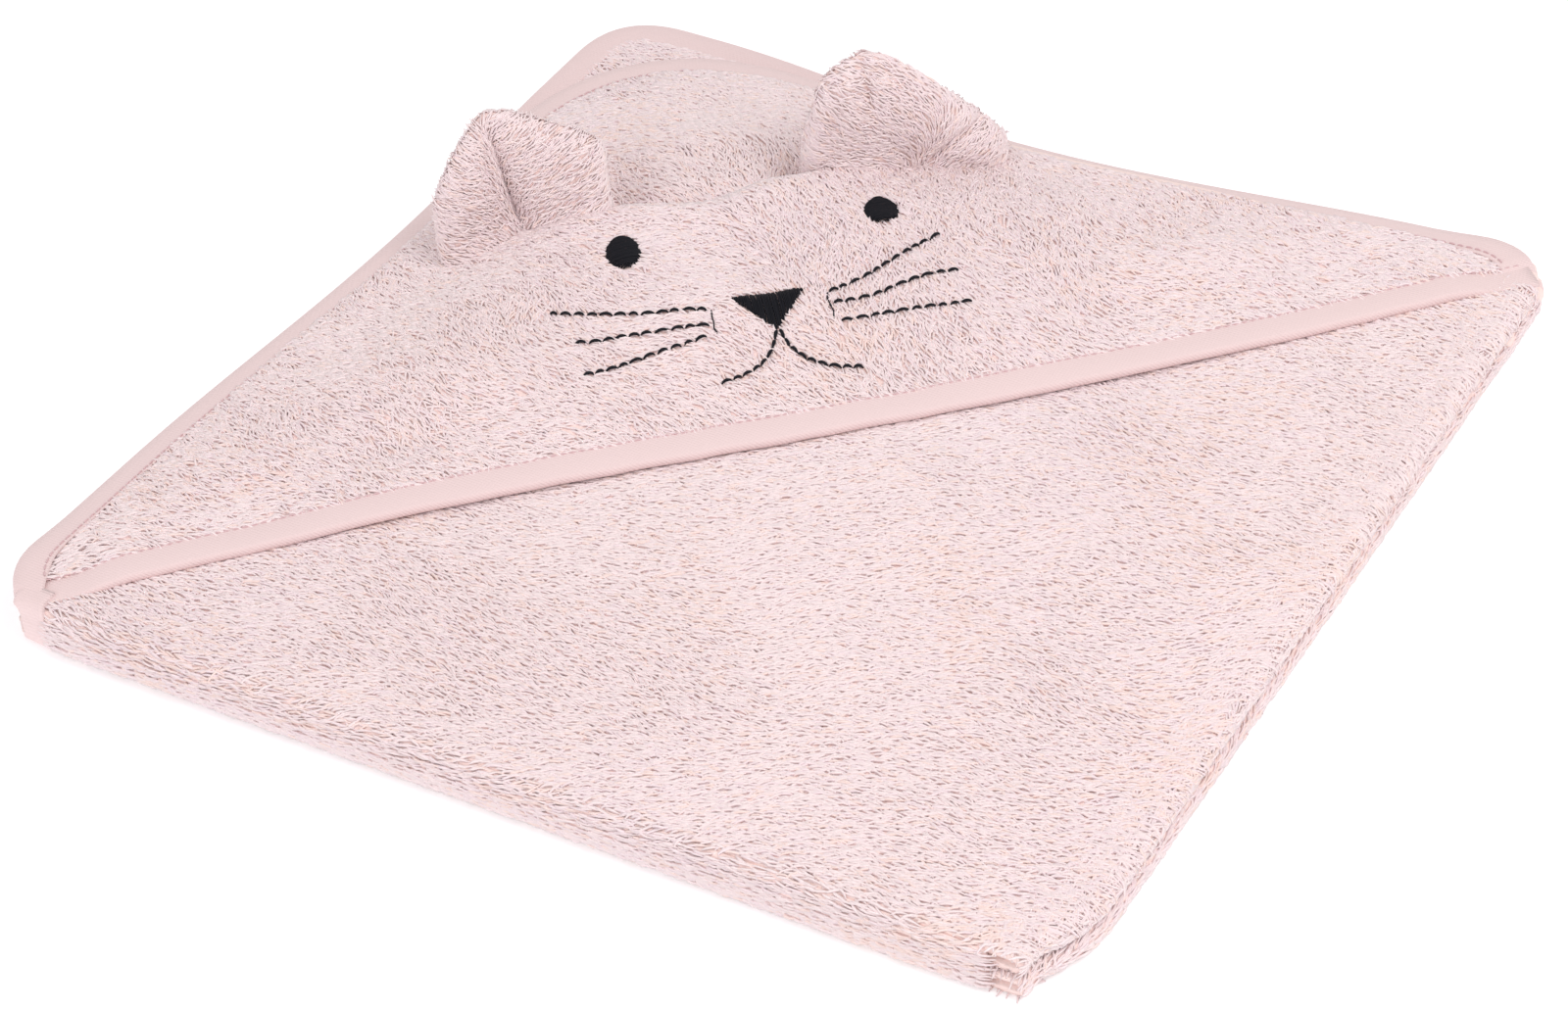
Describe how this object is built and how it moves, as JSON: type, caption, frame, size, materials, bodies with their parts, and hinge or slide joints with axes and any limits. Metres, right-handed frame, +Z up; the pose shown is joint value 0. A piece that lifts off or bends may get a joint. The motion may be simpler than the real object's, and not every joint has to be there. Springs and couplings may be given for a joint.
{
  "type": "hooded baby towel",
  "caption": "Pink terry baby towel with a corner hood, folded into a flat square: taped edges, embroidered whiskered face, cupped ears, and a fold that opens.",
  "frame": {"origin": "on the resting plane, under the middle of the folded square's box", "axes": "+Z up from the resting plane, +X along the hood's free edge, +Y from the front corner to the hood's apex"},
  "size_m": [0.5104, 0.5048, 0.0747],
  "materials": {
    "terry": "pale pink cotton terry with looped pile",
    "binding_tape": "smooth woven cotton bias tape in the same pink",
    "sewing_thread": "fine polyester sewing thread in a matching pink",
    "embroidery_thread": "black rayon embroidery thread with a soft sheen"
  },
  "bodies": {
    "lower_pair": {"towel_lower_pair": "terry", "fold_outer_turn": "terry", "fold_inner_turn": "terry", "binding_lower_pair": "binding_tape", "binding_outer_turn": "binding_tape", "binding_inner_turn": "binding_tape"},
    "upper_pair": {"towel_upper_pair": "terry", "binding_upper_pair": "binding_tape", "stitching_perimeter": "sewing_thread", "hood_panel": "terry", "hood_binding": "binding_tape", "stitching_hood_edge": "sewing_thread", "nose": "embroidery_thread", "eye_left": "embroidery_thread", "eye_right": "embroidery_thread", "mouth_left": "embroidery_thread", "mouth_right": "embroidery_thread", "whisker_join_left": "embroidery_thread", "whisker_join_right": "embroidery_thread", "whisker_left_1": "embroidery_thread", "whisker_left_2": "embroidery_thread", "whisker_left_3": "embroidery_thread", "whisker_right_1": "embroidery_thread", "whisker_right_2": "embroidery_thread", "whisker_right_3": "embroidery_thread"},
    "ear_left": {"ear_left_back": "terry", "ear_left_front": "terry"},
    "ear_right": {"ear_right_back": "terry", "ear_right_front": "terry"}
  },
  "joints": [
    {"name": "unfold", "type": "hinge", "parent": "lower_pair", "child": "upper_pair", "pos_m": [0.00608, -0.25908, 0.0086], "axis": [0.7071, -0.7071, 0], "range_deg": [0, 160], "deforming": ["fold_outer_turn", "fold_inner_turn", "binding_outer_turn", "binding_inner_turn"]},
    {"name": "ear_left_flop", "type": "hinge", "parent": "upper_pair", "child": "ear_left", "pos_m": [-0.06398, 0.1245, 0.02712], "axis": [-0.9994, 0.0349, 0], "range_deg": [0, 70]},
    {"name": "ear_right_flop", "type": "hinge", "parent": "upper_pair", "child": "ear_right", "pos_m": [0.06605, 0.1175, 0.02805], "axis": [-0.9945, 0.1045, 0], "range_deg": [0, 70]}
  ]
}
